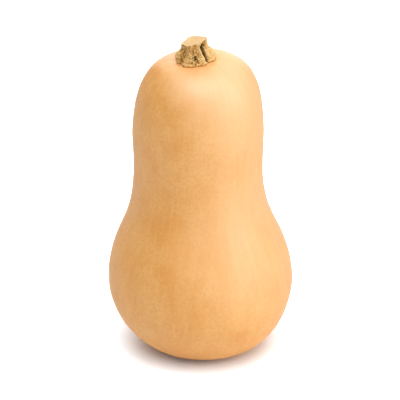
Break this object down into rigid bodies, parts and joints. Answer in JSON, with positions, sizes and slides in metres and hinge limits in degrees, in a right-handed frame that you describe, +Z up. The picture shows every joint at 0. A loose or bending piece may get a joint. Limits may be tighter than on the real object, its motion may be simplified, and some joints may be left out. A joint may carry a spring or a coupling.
{
  "type": "butternut squash",
  "caption": "Whole pear-shaped butternut squash with smooth tan skin and a short ridged cut stem, standing upright on its blossom end.",
  "frame": {"origin": "on the surface the squash stands on, under the middle of its bulb", "axes": "+Z up from the blossom end to the stem, +X to the right and +Y away from the viewer, with the cut of the stem rising towards +X"},
  "size_m": [0.1214, 0.1202, 0.2179],
  "materials": {
    "squash_skin": "smooth hard skin, pale orange tan, waxy satin",
    "dry_stem": "dry corky stem, straw brown, matt"
  },
  "bodies": {
    "root": {"fruit": "squash_skin", "stem": "dry_stem"}
  },
  "joints": []
}
